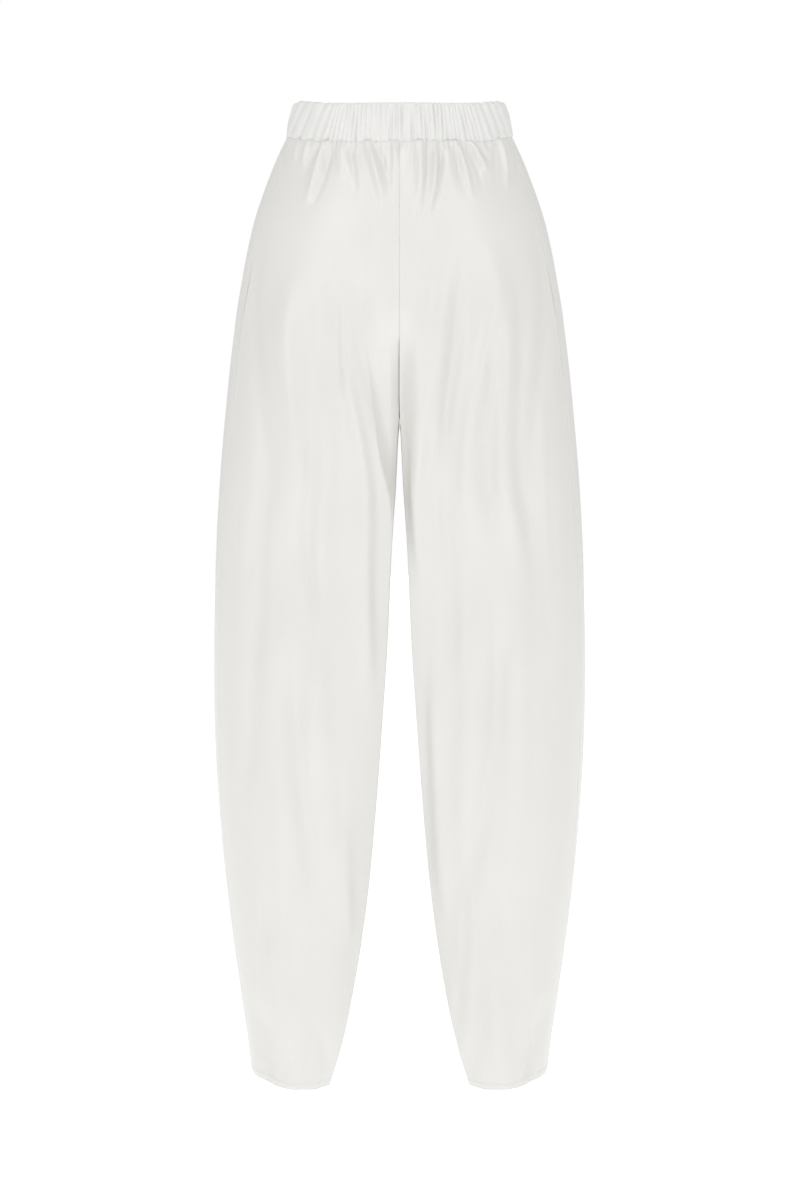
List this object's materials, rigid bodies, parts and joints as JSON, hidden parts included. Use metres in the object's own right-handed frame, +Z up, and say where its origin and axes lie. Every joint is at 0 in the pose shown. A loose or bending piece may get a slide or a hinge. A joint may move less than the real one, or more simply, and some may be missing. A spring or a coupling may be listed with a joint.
{
  "type": "shalwar",
  "caption": "Loose pull-on trousers of satin with a gathered elastic waistband, barrel legs that narrow to the ankle, and a pocket in each side seam.",
  "frame": {"origin": "centre of the waistband, halfway up it, where the wearer's waist holds the garment", "axes": "+Z up, the front faces -Y, +X is the wearer's left"},
  "size_m": [0.3898, 0.2524, 1.032],
  "materials": {
    "satin": "soft satin sheen",
    "band_satin": "satin, gathered over elastic",
    "pocketing": "matt plain weave"
  },
  "bodies": {
    "root": {"waistband": "band_satin", "front_left": "satin", "front_right": "satin", "back_left": "satin", "back_right": "satin", "pocket_bag_left": "pocketing", "pocket_bag_right": "pocketing"}
  },
  "joints": []
}
